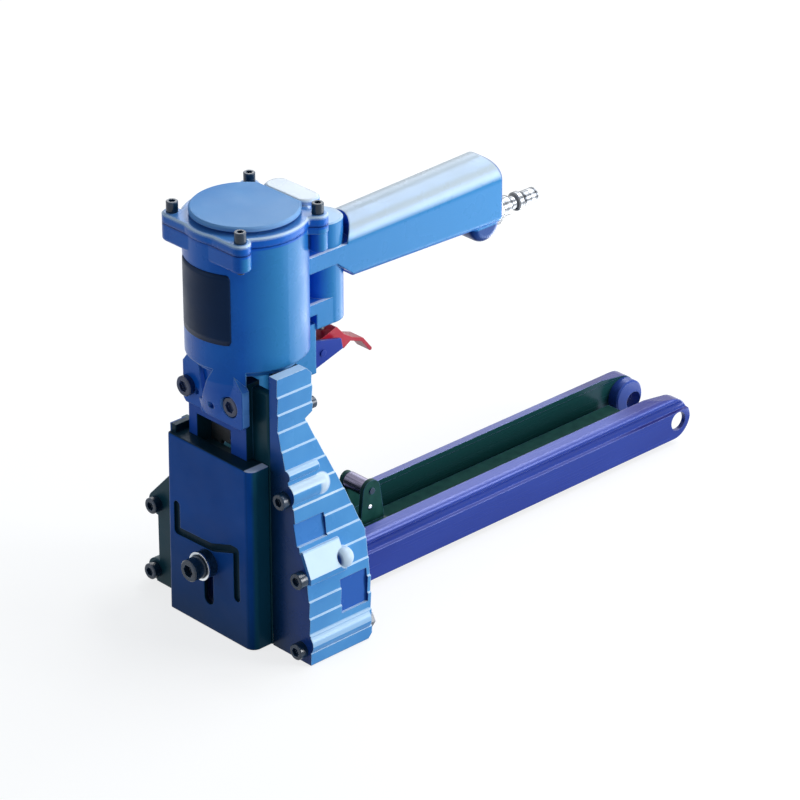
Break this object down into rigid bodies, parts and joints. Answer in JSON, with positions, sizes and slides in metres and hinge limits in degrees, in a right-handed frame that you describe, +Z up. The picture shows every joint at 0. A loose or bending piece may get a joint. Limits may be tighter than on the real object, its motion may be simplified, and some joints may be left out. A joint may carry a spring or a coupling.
{
  "type": "pneumatic carton stapler",
  "caption": "Pneumatic top stapler for cartons: upright cylinder with a pistol handle, a finned side housing, swinging clinchers, and a long open staple magazine to the rear.",
  "frame": {"origin": "where the staple leaves: on the foot plane, under the cylinder axis", "axes": "+X across the tool, +Y rearward along the magazine, +Z up the cylinder"},
  "size_m": [0.1464, 0.3978, 0.2642],
  "materials": {
    "blue_casting": "gloss blue paint on cast aluminium",
    "navy_plate": "satin dark blue paint",
    "dark_frame": "satin blue-black",
    "indigo_rail": "satin indigo",
    "black_steel": "black oxide",
    "steel": "ground",
    "aluminium": "machined",
    "bronze": "machined",
    "rubber": "matt",
    "chrome": "bright plated",
    "red_paint": "gloss red paint"
  },
  "bodies": {
    "tool": {"body_casting": "blue_casting", "cylinder_sleeve": "steel", "cap_gasket": "rubber", "cylinder_cap": "blue_casting", "exhaust_cover": "blue_casting", "cap_screws": "black_steel", "bumper": "rubber", "rod_bush": "bronze", "clincher_pins": "steel", "clincher_spacers": "steel", "front_frame": "dark_frame", "rear_frame": "dark_frame", "nose_plate": "steel", "neck_screws": "black_steel", "side_housing_right": "blue_casting", "side_housing_left": "dark_frame", "housing_bolts": "black_steel", "housing_nuts": "black_steel", "housing_rear_screw": "black_steel", "valve_bush": "bronze", "valve_spring": "steel", "trigger_bracket": "dark_frame", "trigger_pin": "steel", "air_plug": "chrome", "magazine_rail_right": "indigo_rail", "magazine_rail_left": "indigo_rail", "tail_boss": "indigo_rail", "magazine_core": "black_steel"},
    "driver": {"piston": "aluminium", "piston_seal": "rubber", "piston_rod": "steel", "piston_nut": "steel", "driver_yoke": "steel", "yoke_rollers": "steel", "driver_blade": "steel", "blade_pin": "steel"},
    "right_clincher": {"clincher_right": "black_steel"},
    "left_clincher": {"clincher_left": "black_steel"},
    "depth_shoe": {"front_plate": "navy_plate"},
    "knob": {"depth_knob": "black_steel", "knob_collar": "black_steel", "knob_washer": "steel"},
    "trigger_lever": {"trigger": "red_paint"},
    "valve": {"valve_stem": "steel"},
    "pusher_slide": {"pusher": "black_steel", "feed_pin": "steel"},
    "spring_roll": {"feed_spring": "black_steel"}
  },
  "joints": [
    {"name": "driver_stroke", "type": "slide", "parent": "tool", "child": "driver", "axis": [0, 0, -1], "range_m": [0, 0.04125], "stiffness_N_per_m": 300, "springref_m": -0.067},
    {"name": "clincher_right_swing", "type": "hinge", "parent": "tool", "child": "right_clincher", "pos_m": [0.026, -0.006, 0.024], "axis": [0, 1, 0], "range_deg": [0, 80.2]},
    {"name": "clincher_left_swing", "type": "hinge", "parent": "tool", "child": "left_clincher", "pos_m": [-0.026, -0.006, 0.024], "axis": [0, -1, 0], "range_deg": [0, 80.2]},
    {"name": "depth_set", "type": "slide", "parent": "tool", "child": "depth_shoe", "axis": [0, 0, 1], "range_m": [0, 0.019]},
    {"name": "knob_turn", "type": "hinge", "parent": "tool", "child": "knob", "pos_m": [0, -0.04, 0.0445], "axis": [0, -1, 0], "range_deg": [0, 360]},
    {"name": "trigger_pull", "type": "hinge", "parent": "tool", "child": "trigger_lever", "pos_m": [0, 0.049, 0.156], "axis": [1, 0, 0], "range_deg": [0, 12], "stiffness_Nm_per_rad": 0.8, "springref_deg": -5.73},
    {"name": "valve_lift", "type": "slide", "parent": "tool", "child": "valve", "axis": [0, 0, 1], "range_m": [0, 0.0027]},
    {"name": "pusher_travel", "type": "slide", "parent": "tool", "child": "pusher_slide", "axis": [0, 1, 0], "range_m": [0, 0.215], "stiffness_N_per_m": 20, "springref_m": -0.5},
    {"name": "feed_spring_turn", "type": "hinge", "parent": "pusher_slide", "child": "spring_roll", "pos_m": [0, 0.086, 0.052], "axis": [1, 0, 0], "range_deg": [0, 2290]}
  ],
  "couplings": [
    {"joint": "clincher_right_swing", "follows": "driver_stroke", "rad_per_m": 33.927},
    {"joint": "clincher_left_swing", "follows": "driver_stroke", "rad_per_m": 33.927},
    {"joint": "valve_lift", "follows": "trigger_pull", "m_per_rad": 0.01241},
    {"joint": "feed_spring_turn", "follows": "pusher_travel", "rad_per_m": 185}
  ]
}
